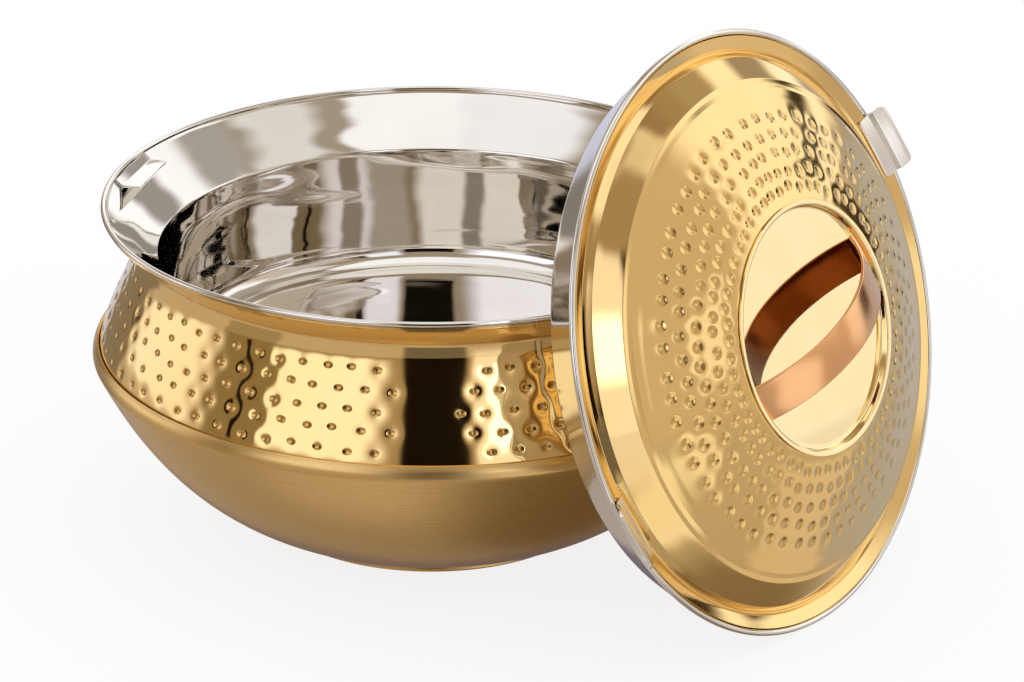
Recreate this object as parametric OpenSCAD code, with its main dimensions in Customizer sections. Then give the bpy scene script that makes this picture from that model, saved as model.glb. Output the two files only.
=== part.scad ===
// Insulated casserole for flat breads: a double-walled pot with a wide conical mouth,
// and a loose double-walled lid that turns under two catches. The lid is drawn taken
// off, standing on its hem and leaning against the pot.
//
// Origin: pot axis at the table, +Z up. Millimetres.

/* [Pot] */
// Radius of the pot over its rolled rim
rim_r = 130; // [118:1:146]
// Height of the rim above the table
rim_h = 132; // [122:1:150]
// Radius of the bowl's opening, at the foot of the conical mouth
lip_r = 107.6; // [100:0.2:112]
// Depth of the conical mouth below the rim
mouth_drop = 20; // [14:0.5:26]
// Radius of the crease between the mouth's outside and the hammered band
neck_r = 116.5; // [112:0.5:122]
// Radius at the seam under the hammered band
seam_r = 131.6; // [124:0.2:140]
// Height of the seam above the table
seam_h = 73.6; // [60:0.2:84]
// Largest radius, on the shoulder of the lower shell
belly_r = 134.4; // [127:0.2:144]
// Height of the largest radius below the seam
shoulder_drop = 3.8; // [2.5:0.1:8]
// Radius of the base plate
base_r = 65; // [50:1:80]
// Height of the base plate's edge, which shows as a narrow foot
foot_h = 2.2; // [1.6:0.1:4]

/* [Bowl] */
// Radius at the foot of the bowl's wall
wall_r = 103.8; // [96:0.2:108]
// Depth from the rim to the floor's outer channel
bowl_depth = 68; // [50:1:84]
// Radius of the corner between wall and floor
bowl_corner = 8; // [4:0.5:14]
// Radius of the raised disc in the bowl's floor
floor_disc_r = 78; // [60:1:88]
// Height of that disc above the channel
floor_step = 2; // [1:0.5:4]

/* [Lid] */
// Radius of the lid over its silver hem
hem_r = 116; // [111:0.5:120]
// Radius where the ring wall rises from the flat flange
wall_foot_r = 105; // [99:0.2:108]
// Radius at the top of the ring wall
wall_top_r = 96.2; // [90:0.2:99]
// Height of the ring wall above the flange
wall_rise = 8.4; // [4:0.2:12]
// Depth of the channel pressed round the foot of the ring wall
channel_depth = 2.8; // [1:0.1:4]
// Width of the sloping flange between the hem and that channel
flange_w = 4.9; // [3:0.1:7]
// Radius where the dome begins, inside the cove
dome_r = 92.2; // [84:0.2:95]
// Height of the dome's edge above the top of the ring wall
cove_rise = 1.8; // [1.2:0.1:5]
// Height of the dome itself, edge to crown
dome_rise = 16.2; // [10:0.2:24]
// Depth of the plug under the hem
plug_depth = 18.5; // [12:0.5:24]
// Radius of the plug at the foot of its tapered skirt
plug_r = 104.9; // [98:0.2:107]
// Radius of the disc that is pressed inwards in the plug's floor
pan_disc_r = 76; // [50:1:88]
// How far that disc is pressed in
pan_disc_rise = 3.5; // [1:0.5:6]

/* [Handle] */
// Radius of the hand cup's floor
cup_r = 46.3; // [40:0.1:56]
// Depth of the cup below its rim
cup_depth = 3; // [2:0.5:8]
// How far the corners of the strap's feet stay inside the cup's wall
strap_inset = 1.2; // [1:0.1:6]
// Height of the strap's top above the cup's floor
strap_rise = 22; // [18:0.5:28]
// Width of the strap
strap_w = 16; // [12:0.5:22]
// Thickness of the strap
strap_t = 1.4; // [1:0.1:2.4]

/* [Catches and lugs] */
// Width of a lid lug
lug_w = 28; // [18:1:32]
// How far a lug reaches past the hem
lug_reach = 3.7; // [3:0.1:6.5]
// Height that a lug is joggled up by, to cross the hem
lug_joggle = 2.1; // [1.9:0.1:4]
// How much a lug rises from the hem to its tip, to ride over the flare
lug_lift = 2.8; // [2:0.1:5]
// Width of a catch along the rim
catch_w = 31; // [24:1:40]
// How far a catch covers a lug
catch_cover = 2.1; // [1.5:0.1:4.5]
// Free height between a lug and the catch over it
catch_gap = 0.3; // [0.2:0.1:0.8]
// Direction of the first catch, seen from above
catch_az = 162; // [0:1:360]
// Thickness of the catches and lugs
tab_t = 1; // [0.8:0.1:1.6]

/* [Sheet and fits] */
// Thickness of the pressed sheet
sheet_t = 0.8; // [0.6:0.1:1.2]
// Radius of the rolled bead on the pot's rim
bead_r = 1.1; // [1:0.1:2]
// Radius of the rolled hem of the lid
hem_bead_r = 1.2; // [1:0.1:2]
// Clearance between two sheets that lie on each other
sheet_gap = 0.1; // [0.05:0.05:0.3]
// Clearance round the foam
foam_gap = 0.2; // [0.1:0.1:0.5]

/* [Leaning lid] */
// Angle of the lid's axis from straight up
lean = 73.2; // [68:0.2:80]
// Compass direction of the lid's axis, seen from above
lean_az = -36.1; // [-60:0.1:0]
// Compass direction from the pot's axis to the lid's centre
place_az = -35.2; // [-60:0.1:0]
// Turn of the lid about its own axis, so that the lugs lie as in use
spin = -67; // [-180:1:180]
// Gap between the lid's underside and the rim it leans on
lean_gap = 0.3; // [0.2:0.1:1]

/* [Hidden] */
$fn = 96;

gold = "#d9ac5c";
satin_gold = "#a5824a";
steel = "#c9c6bf";
copper = "#c98a5a";
foam = "#e9dfb8";

// Slope of the mouth's mirror face, as the unit vector up the cone.
cone = [rim_r - lip_r, mouth_drop] / norm([rim_r - lip_r, mouth_drop]);
function cone_z(r) = rim_h - (rim_r - r) * mouth_drop / (rim_r - lip_r);
function cone_point(r, below) = [r, cone_z(r) - below / cone[0]];

// The outer face of the gold skin under the mouth lies two sheets below the mirror face.
skin = 2 * sheet_t + sheet_gap;
neck = cone_point(neck_r, skin);

floor_z = rim_h - bowl_depth;
belly_h = seam_h - shoulder_drop;
shelf_r = base_r - 14;

// Heights in the lid's own frame, where 0 is the middle of the hem.
flange_top = hem_bead_r - 0.3;
wall_top = flange_top + wall_rise;
dome_edge = wall_top + cove_rise;
crown = dome_edge + dome_rise;
crown_r = cup_r + 1.1;
cup_rim = crown + sheet_gap + sheet_t;
cup_floor = cup_rim - cup_depth;
flange_r = hem_r - 2 * hem_bead_r - 0.4;
channel_r = wall_foot_r + 2.1;
flange_slope = 0.306;
flange_drop = flange_w * flange_slope;

// Closed lid: the round of the hem rests on the cone.
seat_z = cone_z(hem_r - hem_bead_r + hem_bead_r / cone[1]);

// A flat lug stands on the sloping flange with its two ends.
lug_low = flange_top + sheet_gap + 0.55 * tab_t + flange_slope * lug_w * lug_w / 8 / flange_r;
lug_top = lug_low + lug_joggle + lug_lift + tab_t / 2;
lug_end = hem_r + lug_reach;
catch_under = seat_z + lug_top + catch_gap;

// Place of the leaning lid: the hem stands on the table and the disc in the plug's floor
// touches the farthest point of the rim.
lid_z = (hem_r - hem_bead_r) * sin(lean) + hem_bead_r;
lid_d = ((rim_r - bead_r) * sin(lean) + bead_r + (rim_h - bead_r) * cos(lean)
         + plug_depth - pan_disc_rise + lean_gap - lid_z * cos(lean))
        / (sin(lean) * cos(place_az - lean_az));

// ---- plane geometry ---------------------------------------------------------------

function unit(v) = v / norm(v);
function left(v) = [-v[1], v[0]];
function turn(v, a) = [v[0] * cos(a) - v[1] * sin(a), v[0] * sin(a) + v[1] * cos(a)];
function cross2(u, v) = u[0] * v[1] - u[1] * v[0];
function rev(p) = [for (i = [len(p) - 1:-1:0]) p[i]];

// A cubic curve from a to d with handles b and c, in n steps.
function curve(a, b, c, d, n) =
    [for (i = [0:n]) let (t = i / n, s = 1 - t)
        s * s * s * a + 3 * s * s * t * b + 3 * s * t * t * c + t * t * t * d];

// One corner b of a path, rounded by an arc of radius r in n steps.
function corner(a, b, c, r, n) =
    let (u = unit(b - a), v = unit(c - b),
         phi = acos(max(-1, min(1, u * v))),
         s = cross2(u, v) < 0 ? -1 : 1,
         back = min(r * tan(phi / 2), norm(b - a) * 0.49, norm(c - b) * 0.49),
         q = phi < 1 ? 0 : back / tan(phi / 2),
         m = b - u * back + left(u) * q * s)
    q <= 0 ? [b] : [for (j = [0:n]) m - turn(left(u), s * phi * j / n) * q * s];

// A path through p with the corner radii in r.
function rounded(p, r, n = 6) =
    [for (i = [0:len(p) - 1])
        each (i == 0 || i == len(p) - 1 || r[i] <= 0)
            ? [p[i]] : corner(p[i - 1], p[i], p[i + 1], r[i], n)];

// The same path moved sideways by d, to the left of its direction.
function beside(p, d) =
    [for (i = [0:len(p) - 1])
        let (u = unit(p[max(i, 1)] - p[max(i, 1) - 1]),
             v = unit(p[min(i, len(p) - 2) + 1] - p[min(i, len(p) - 2)]),
             a = left(u), b = left(v))
        p[i] + d * (a + b) / (1 + a * b)];

// A sheet of thickness t to the left of the path, spun about the axis.
module spun_sheet(path, t) {
    rotate_extrude() polygon(concat(path, rev(beside(path, t))));
}

module ring(r, z, bead) {
    rotate_extrude() translate([r, z]) circle(r = bead, $fn = 32);
}

// ---- profiles, each along the face that shows ----------------------------------------

// Outside of the gold upper shell, from under the rim down to the edge tucked in at the
// seam.
upper_path = concat(
    [cone_point(rim_r - bead_r, skin)],
    corner(cone_point(rim_r, skin), neck, neck + [0, -10], 2.4, 6),
    curve(neck + [0, -4], neck + [0, -11], [seam_r - 3.4, seam_h + 15.5], [seam_r, seam_h], 14),
    [[seam_r - 0.7, seam_h - 6]]);

// Outside of the satin lower shell, from its shoulder to the shelf over the base plate.
lower_path = concat(
    [[seam_r + sheet_t + sheet_gap, seam_h + 1]],
    curve([seam_r + sheet_t + sheet_gap + 0.4, seam_h + 0.6],
          [belly_r - 0.6, seam_h - 0.6], [belly_r, seam_h - shoulder_drop * 0.6],
          [belly_r, belly_h], 5),
    curve([belly_r - 0.1, belly_h - 0.6], [belly_r - 16.4, belly_h * 0.52],
          [base_r + 32, foot_h + 10.8], [base_r + 1, foot_h + 0.8], 22),
    [[base_r - 1, foot_h + 0.05], [shelf_r, foot_h + 0.05]]);

// Mirror face of the bowl, from the rim to the middle of the floor.
bowl_path = rounded(
    [cone_point(rim_r - bead_r, 0), [lip_r, rim_h - mouth_drop], [wall_r, floor_z],
     [floor_disc_r + 1.5, floor_z], [floor_disc_r - 0.5, floor_z + floor_step],
     [0, floor_z + floor_step]],
    [0, 1.6, bowl_corner, 1, 1, 0]);

// Gold face of the lid, from the hem over its sloping flange and the channel, up the ring
// wall and on to the hole for the hand cup.
lid_path = concat(
    rounded([[flange_r, flange_top], [flange_r - flange_w, flange_top - flange_drop],
             [channel_r, flange_top - channel_depth], [wall_foot_r, flange_top + 0.7],
             [wall_top_r, wall_top], [wall_top_r - 1.7, wall_top + 0.4],
             [dome_r + 0.6, dome_edge - 0.4], [dome_r - 2.2, dome_edge + 0.9]],
            [0, 1, 0.4, 0.6, 1.2, 1.2, 1, 0], 4),
    curve([dome_r - 3, dome_edge + 1.2], [dome_r - 15, dome_edge + 6.6],
          [crown_r + 15, crown - 1.2], [crown_r + 0.4, crown], 16));

// Silver face of the lid's pan, from the hem round the plug's foot to its middle.
pan_floor = pan_disc_rise - plug_depth;
pan_path = rounded([[hem_r - 0.7, -0.9], [plug_r, -plug_depth],
                    [pan_disc_r + 2, -plug_depth], [pan_disc_r - 1, pan_floor],
                    [0, pan_floor]],
                   [0, 4, 1.5, 1.5, 0], 6);

// Hand cup, from its rolled rim to the middle of its mirror floor.
cup_path = rounded([[crown_r + 1.3, cup_rim], [cup_r + 0.3, cup_rim],
                    [cup_r, cup_floor], [0, cup_floor]], [0, 0.9, 0.9, 0], 5);

// ---- pot ----------------------------------------------------------------------------

module upper_shell() {
    color(gold) spun_sheet(upper_path, -sheet_t);
}

module lower_shell() {
    color(satin_gold) spun_sheet(lower_path, -sheet_t);
}

module bowl() {
    color(steel) union() {
        spun_sheet(bowl_path, sheet_t);
        ring(rim_r - bead_r, rim_h - bead_r, bead_r);
    }
}

// The foam fills the wall up to just below the neck.
module body_foam() {
    clear = sheet_t + foam_gap;
    inside = beside(bowl_path, clear);
    outside = concat(beside(upper_path, -clear),
                     [for (p = beside(lower_path, -clear)) if (p[1] < seam_h - 7) p]);
    color(foam) intersection() {
        rotate_extrude() polygon(concat(
            [[0, inside[len(inside) - 1][1]]], rev(inside), outside,
            [[0, foot_h + clear]]));
        cylinder(r = belly_r, h = neck[1] - 7);
    }
}

module base_plate() {
    color(satin_gold) rotate_extrude() polygon(rounded(
        [[0, 0], [base_r - 0.4, 0], [base_r, 0.6], [base_r, foot_h - 0.3],
         [base_r - 0.4, foot_h], [0, foot_h]], [0, 0.4, 0.4, 0, 0, 0], 3));
}

// A catch: a tab that lies on the mouth's cone below the rim, bent level over the lugs.
module catch_tab(az) {
    mid = catch_under + tab_t / 2;
    up = tab_t / 2 + sheet_gap / 2;
    bend_r = rim_r - (rim_h - mid + up / cone[0]) * (rim_r - lip_r) / mouth_drop;
    top_r = rim_r - 2 * bead_r - 0.2;
    path = rounded([cone_point(top_r, -up), [bend_r, mid],
                    [lug_end - catch_cover, mid]], [0, 1.4, 0], 5);
    color(steel) intersection() {
        rotate([0, 0, az - 12]) rotate_extrude(angle = 24)
            polygon(concat(beside(path, tab_t / 2), rev(beside(path, -tab_t / 2))));
        rotate([0, 0, az]) translate([0, 0, catch_under - 8]) linear_extrude(24)
            polygon(tab_outline(lug_end - catch_cover - 2, rim_r, catch_w, 0, 2));
    }
}

// Plan of a tab from radius a to b, w wide, with corner radii at its two ends.
function tab_outline(a, b, w, ra, rb) =
    let (m = (a + b) / 2)
    rounded([[m, -w / 2], [b, -w / 2], [b, w / 2], [a, w / 2], [a, -w / 2], [m, -w / 2]],
            [0, rb, rb, ra, ra, 0], 5);

module catch_left() { catch_tab(catch_az); }
module catch_right() { catch_tab(catch_az + 180); }

// ---- lid, drawn level about its own hem and then leaned ------------------------------

module leaned() {
    translate([lid_d * cos(place_az), lid_d * sin(place_az), lid_z])
        rotate([0, 0, lean_az]) rotate([0, lean, 0]) rotate([0, 0, spin + 180])
            children();
}

module lid_top() {
    color(gold) leaned() spun_sheet(lid_path, sheet_t);
}

module lid_pan() {
    color(steel) leaned() union() {
        spun_sheet(pan_path, -sheet_t);
        ring(hem_r - hem_bead_r, 0, hem_bead_r);
    }
}

module lid_foam() {
    clear = sheet_t + foam_gap;
    top = [for (p = beside(lid_path, clear)) if (p[0] > cup_r + 1.6) p];
    low = [for (p = beside(pan_path, -clear)) if (p[1] < -3) p];
    color(foam) leaned() rotate_extrude() polygon(concat(
        [[0, pan_floor + clear]], rev([for (p = low) if (p[0] > 0.01) p]),
        [[plug_r + (hem_r - plug_r) * (1 - 3 / plug_depth) - 1.5, -3.4]],
        [for (p = top) if (p[0] < plug_r + (hem_r - plug_r) * (1 - 3 / plug_depth) - 2) p],
        [[cup_r + 1.2, cup_floor - clear], [0, cup_floor - clear]]));
}

module hand_cup() {
    color(gold) leaned() spun_sheet(cup_path, sheet_t);
}

// The strap is one circular arc whose two ends stand on the cup's floor.
module strap() {
    seat = cup_floor + sheet_gap / 2;
    span = sqrt(pow(cup_r - strap_inset, 2) - pow(strap_w / 2, 2));
    r_out = (pow(span, 2) + pow(strap_rise, 2)) / (2 * strap_rise);
    mid = seat + strap_rise - r_out;
    color(copper) leaned() intersection() {
        translate([0, 0, mid]) rotate([90, 0, 0])
            translate([0, 0, -strap_w / 2]) difference() {
                cylinder(r = r_out, h = strap_w, $fn = 180);
                translate([0, 0, -1])
                    cylinder(r = r_out - strap_t, h = strap_w + 2, $fn = 180);
            }
        translate([-cup_r, -strap_w, seat]) cube([2 * cup_r, 2 * strap_w, strap_rise + 5]);
    }
}

// A lug: a tab welded on the lid's sloping flange, joggled up where it crosses the hem
// and rising on to its tip.
module lug(side) {
    high = lug_low + lug_joggle;
    path = rounded([[channel_r + 1.2, lug_low - flange_drop], [flange_r + 0.4, lug_low + 0.12],
                    [hem_r - 1.1, high], [lug_end, high + lug_lift - 0.05]],
                   [0, 0.6, 0.8, 0], 5);
    color(steel) leaned() rotate([0, 0, side]) intersection() {
        translate([0, lug_w / 2, 0]) rotate([90, 0, 0]) linear_extrude(lug_w)
            polygon(concat(beside(path, tab_t / 2), rev(beside(path, -tab_t / 2))));
        translate([0, 0, -5]) linear_extrude(30)
            polygon(tab_outline(channel_r + 1.2, lug_end, lug_w, 1.4, 2.5));
    }
}

module lug_upper() { lug(0); }
module lug_lower() { lug(180); }

upper_shell();
lower_shell();
bowl();
body_foam();
base_plate();
catch_left();
catch_right();
lid_top();
lid_pan();
lid_foam();
hand_cup();
strap();
lug_upper();
lug_lower();
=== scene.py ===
"""Looks of an insulated casserole for flat breads, with its lid off and leaning on it.

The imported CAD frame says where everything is. Here each pressed sheet is drawn again as
a fine surface of revolution, so that its mirror finish has no facets and the hammered
dents are real dents, and every piece gets the finish of the real one. Sizes are in
millimetres, in the CAD source's own values, and go into the meshes in metres.
"""

import logging
import math
from collections.abc import Iterator
from dataclasses import dataclass, field, replace
from enum import Enum

import bpy
import numpy as np
from mathutils import Matrix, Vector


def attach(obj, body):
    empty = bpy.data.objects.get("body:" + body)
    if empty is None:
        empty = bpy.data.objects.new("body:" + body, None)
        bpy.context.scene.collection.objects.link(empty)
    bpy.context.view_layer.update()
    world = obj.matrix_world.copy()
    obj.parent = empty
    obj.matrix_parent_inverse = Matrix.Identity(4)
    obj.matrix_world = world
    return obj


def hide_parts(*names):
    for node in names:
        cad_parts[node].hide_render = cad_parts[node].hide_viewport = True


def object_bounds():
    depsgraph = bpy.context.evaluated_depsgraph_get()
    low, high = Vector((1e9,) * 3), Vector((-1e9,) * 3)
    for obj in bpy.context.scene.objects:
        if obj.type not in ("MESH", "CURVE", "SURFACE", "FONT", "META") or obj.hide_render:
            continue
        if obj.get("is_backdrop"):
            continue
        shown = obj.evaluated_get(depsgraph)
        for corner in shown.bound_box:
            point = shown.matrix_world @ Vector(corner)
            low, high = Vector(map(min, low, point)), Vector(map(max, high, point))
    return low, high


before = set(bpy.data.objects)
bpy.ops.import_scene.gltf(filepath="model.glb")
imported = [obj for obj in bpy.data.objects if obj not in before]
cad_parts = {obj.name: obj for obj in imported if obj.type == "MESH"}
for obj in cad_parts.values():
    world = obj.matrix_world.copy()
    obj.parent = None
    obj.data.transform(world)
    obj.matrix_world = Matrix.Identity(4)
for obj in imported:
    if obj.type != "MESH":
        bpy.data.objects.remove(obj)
CAD_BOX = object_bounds()

Array = np.ndarray
Point = tuple | np.ndarray
Tree = bpy.types.NodeTree
Node = bpy.types.Node
Socket = bpy.types.NodeSocket
MM = 0.001
log = logging.getLogger("casserole")


class Body(Enum):
    """The two bodies of the CAD frame."""

    POT = "pot"
    LID = "lid"


class Slot(Enum):
    """The record's material slots, one listed beside each new piece."""

    GOLD_MIRROR = "gold_mirror"
    GOLD_SATIN = "gold_satin"
    MIRROR_STEEL = "mirror_steel"
    SATIN_STEEL = "satin_steel"
    PALE_GOLD = "pale_gold"
    ROSE_GOLD = "rose_gold"


class Axis(Enum):
    """The frame's axes."""

    X = 0
    Y = 1
    Z = 2


# ---- shapes in the plane -------------------------------------------------------------

# The most of a leg that the arc at either of its ends takes up.
LEG_SHARE = 0.49


def equal_angles(count: int) -> Array:
    """Angles that split a full turn into equal parts."""
    return 2 * math.pi * np.arange(count) / count


def wrapped(angle: Array) -> Array:
    """The angle brought to between minus and plus half a turn."""
    return (angle + math.pi) % (2 * math.pi) - math.pi


def unit(v: Array) -> Array:
    """The vector divided by its length."""
    return v / np.hypot(*v)


def turning(axis: Axis, angle: float) -> Array:
    """Matrix that turns points about an axis.

    In the plane of the next two axes, in cyclic order, it is (cos, -sin; sin, cos).

    Args:
        axis: Axis that stays.
        angle: Anticlockwise turn, in radians.

    Returns:
        A 3 by 3 matrix.
    """
    matrix = np.eye(3)
    i, j = (axis.value + 1) % 3, (axis.value + 2) % 3
    matrix[i, i] = matrix[j, j] = math.cos(angle)
    matrix[j, i] = math.sin(angle)
    matrix[i, j] = -math.sin(angle)
    return matrix


def cubic(a: Point, b: Point, c: Point, d: Point, steps: int) -> Array:
    """Cubic curve from a to d with handles b and c.

    Each point is the four ends weighted by the cubic Bernstein terms of t.

    Args:
        a, b, c, d: (radius, height) of the first end, the two handles and the last end.
        steps: How many equal steps of t the curve has.

    Returns:
        steps + 1 points.
    """
    t = np.linspace(0, 1, steps + 1)[:, None]
    s = 1 - t
    a, b, c, d = (np.asarray(p, float) for p in (a, b, c, d))
    return s**3 * a + 3 * s * s * t * b + 3 * s * t * t * c + t**3 * d


def corner(a: Array, b: Array, c: Array, radius: float, steps: int) -> Array:
    """Arc that rounds the corner at b between its neighbours a and c.

    The arc touches both legs at the radius times the tangent of half the turn, but takes
    up no more than LEG_SHARE of the shorter leg. Its points are the centre plus the
    turned leg normal.

    Args:
        a, b, c: Points before, at and after the corner.
        radius: Radius wanted.
        steps: How many chords the arc has.

    Returns:
        The arc's points, or b alone where there is no turn.
    """
    u, v = unit(b - a), unit(c - b)
    turn = math.acos(float(np.clip(u @ v, -1, 1)))
    if turn < math.radians(1) or radius <= 0:
        return b[None]
    side = -1 if u[0] * v[1] - u[1] * v[0] < 0 else 1
    room = LEG_SHARE * min(np.hypot(*(b - a)), np.hypot(*(c - b)))
    back = min(radius * math.tan(turn / 2), room)
    r = side * back / math.tan(turn / 2)
    left = np.array([-u[1], u[0]])
    angle = side * turn * np.arange(steps + 1) / steps
    cos, sin = np.cos(angle), np.sin(angle)
    swung = np.stack([left[0] * cos - left[1] * sin, left[0] * sin + left[1] * cos], 1)
    return b - u * back + left * r - swung * r


def rounded(points: list, radii: list, steps: int) -> Array:
    """The path through the points with an arc in place of each corner.

    Args:
        points: (radius, height) of the path's two ends and of its corners.
        radii: Radius at each point, of which the first and the last aren't used.
        steps: How many chords an arc has.

    Returns:
        The path's points.
    """
    p = np.asarray(points, float)
    inner = [corner(p[i - 1], p[i], p[i + 1], radii[i], steps) for i in range(1, len(p) - 1)]
    return np.concatenate([p[:1], *inner, p[-1:]])


def beside(path: Array, distance: float) -> Array:
    """The path moved to the left of its direction.

    Each point moves along the sum of its two leg normals, over one plus their product,
    which keeps both legs at the distance.

    Args:
        path: Points of the path.
        distance: How far, negative for the right side.

    Returns:
        As many points.
    """
    legs = np.diff(path, axis=0)
    legs /= np.linalg.norm(legs, axis=1, keepdims=True)
    normals = np.stack([-legs[:, 1], legs[:, 0]], 1)
    before = np.vstack([normals[:1], normals])
    after = np.vstack([normals, normals[-1:]])
    share = 1 + np.sum(before * after, 1, keepdims=True)
    return path + distance * (before + after) / share


def arc(centre: Point, radius: float, start: float, end: float, steps: int) -> Array:
    """Points on a circle from one angle to another, in degrees."""
    a = np.radians(np.linspace(start, end, steps + 1))
    return np.stack([centre[0] + radius * np.cos(a), centre[1] + radius * np.sin(a)], 1)


def run_along(path: Array) -> Array:
    """Distance of each point from the path's start, along the path."""
    return np.concatenate([[0], np.cumsum(np.linalg.norm(np.diff(path, axis=0), axis=1))])


def along(path: Array, distances: Array) -> Array:
    """Points of the path at the given distances from its start."""
    run = run_along(path)
    return np.stack([np.interp(distances, run, path[:, k]) for k in (0, 1)], 1)


def split(gaps: Array, longest: float) -> tuple[Array, Array]:
    """Splits gaps into equal parts, each gap into as few as keep them short enough.

    Args:
        gaps: Lengths of the gaps.
        longest: Longest part wanted.

    Returns:
        For each part, the number of its gap, and where in that gap it starts, as a share.
    """
    parts = np.maximum(1, np.ceil(gaps / longest)).astype(int)
    gap = np.repeat(np.arange(len(parts)), parts)
    share = (np.arange(parts.sum()) - np.repeat(np.cumsum(parts) - parts, parts)) / parts[gap]
    return gap, share


def stepped(path: Array, longest: float) -> Array:
    """The path with extra points on its legs.

    Args:
        path: Points of the path.
        longest: Longest leg wanted.

    Returns:
        The path's points and the extra ones, in order.
    """
    leg, share = split(np.linalg.norm(np.diff(path, axis=0), axis=1), longest)
    inside = path[leg] + (path[leg + 1] - path[leg]) * share[:, None]
    return np.vstack([inside, path[-1:]])


def banded_rows(total: float, rows: Array, reach: float, fine: float, coarse: float) -> Array:
    """Places along a profile, close together at each row of marks and wide apart between.

    Args:
        total: Length of the profile.
        rows: Middles of the rows of marks.
        reach: How far from a middle the places stay close.
        fine: Step near a row.
        coarse: Longest step elsewhere.

    Returns:
        Rising distances from 0 to total.
    """
    near = np.concatenate([m + np.arange(-reach, reach + fine / 2, fine) for m in rows])
    places = np.sort(np.concatenate([[0, total], near]))
    places = places[(places >= 0) & (places <= total)]
    gap, share = split(np.diff(places), coarse)
    return np.append(places[gap] + (places[gap + 1] - places[gap]) * share, total)


# ---- surfaces ------------------------------------------------------------------------

# A radius below this is on the axis.
ON_AXIS = 1e-6
# Half the width of a strip's flat side where the strip narrows to nothing.
LEAST_HALF_FLAT = 0.02


@dataclass
class Surface:
    """Points in millimetres, their faces, and each face corner's place on the sheet.

    A hammered surface also has each corner's place beside the nearest hammer mark.
    """

    points: Array
    quads: Array
    triangles: Array
    sheet: Array
    beside_mark: Array | None = None

    def placed(self, turn: Array, shift: Array) -> "Surface":
        """The same surface turned by a matrix and then shifted."""
        return replace(self, points=self.points @ turn.T + shift)


def ringed(rows: int, low: Array, across: Array, run: Array) -> tuple[Array, Array]:
    """Quads between rows of points, where each row is a closed ring.

    Points are numbered row by row. A quad's corners are the lower left, the lower right,
    the upper right and the upper left one.

    Args:
        rows: How many rows of points there are.
        low: Rows with quads above them. The first row comes again above the last one.
        across: Sheet distance at each column, and once more at the first one.
        run: Sheet distance at each row, and once more at the first one if that is used.

    Returns:
        The four point numbers of each quad, and the sheet place of each quad's corner.
    """
    columns = len(across) - 1
    column = np.arange(columns)[:, None] + [0, 1, 1, 0]
    row = low[:, None, None] + np.array([0, 0, 1, 1])
    quads = (row % rows) * columns + column % columns
    sheet = np.stack(np.broadcast_arrays(across[column], run[row]), 3)
    return quads.reshape(-1, 4), sheet.reshape(-1, 2)


def fans(first: Array, first_tip: int, last: Array, last_tip: int) -> Array:
    """Triangles that close the first and the last ring, each from a point to its sides.

    Args:
        first: Point numbers of the first ring.
        first_tip: Number of the point that closes it.
        last: Point numbers of the last ring.
        last_tip: Number of the point that closes that one.

    Returns:
        The three point numbers of each triangle, all facing out.
    """
    below = np.stack([np.full_like(first, first_tip), np.roll(first, -1), first], 1)
    above = np.stack([np.full_like(last, last_tip), last, np.roll(last, -1)], 1)
    return np.vstack([below, above])


def spun(profile: Array, columns: int, relief: Array | None = None) -> Surface:
    """Closed surface of a profile spun about the Z axis.

    A point is (r cos a, r sin a, z) for each profile point (r, z) and each of the equal
    angles a. Relief moves it along the profile's own normal first. A profile that starts
    and ends on the axis gets one point at each pole, and any other joins up with itself.
    The profile runs anticlockwise round the sheet, which makes the faces point outwards.

    Args:
        profile: Anticlockwise loop of (radius, height), in millimetres.
        columns: How many angles.
        relief: Outward displacement for each profile point and angle, or None.

    Returns:
        The surface. Its sheet coordinates are the run round the widest circle and the run
        along the profile, in metres.
    """
    rows = len(profile)
    joined = np.abs(profile[[0, -1], 0]).max() > ON_AXIS
    if joined:
        tangent = np.roll(profile, -1, 0) - np.roll(profile, 1, 0)
    else:
        tangent = np.gradient(profile, axis=0)
    tangent /= np.linalg.norm(tangent, axis=1, keepdims=True)
    push = np.zeros((rows, columns)) if relief is None else relief
    radius = profile[:, :1] + push * tangent[:, 1:]
    height = profile[:, 1:] - push * tangent[:, :1]
    around = equal_angles(columns)
    points = np.stack([radius * np.cos(around), radius * np.sin(around), height], 2)
    across = 2 * math.pi * profile[:, 0].max() * MM * np.arange(columns + 1) / columns
    if joined:
        run = run_along(np.vstack([profile, profile[:1]])) * MM
        quads, sheet = ringed(rows, np.arange(rows), across, run)
        return Surface(points.reshape(-1, 3), quads, np.zeros((0, 3), int), sheet)
    run = run_along(profile) * MM
    quads, sheet = ringed(rows, np.arange(1, rows - 2), across, run)
    points = np.vstack([points[:1, 0], points[1:-1].reshape(-1, 3), points[-1:, 0]])
    top = len(points) - 1
    first, last = np.arange(1, columns + 1), np.arange(top - columns, top)
    # On the sheet, a pole lies over the middle of each column in turn.
    left, right = across[:-1], across[1:]
    middle = (left + right) / 2
    ends = ((middle, right, left), run[[0, 1, 1]]), ((middle, left, right), run[[-1, -2, -2]])
    caps = [np.stack(np.broadcast_arrays(np.stack(u, 1), v), 2).reshape(-1, 2) for u, v in ends]
    triangles = fans(first, 0, last, top)
    return Surface(points, quads - columns + 1, triangles, np.vstack([sheet, *caps]))


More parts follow.
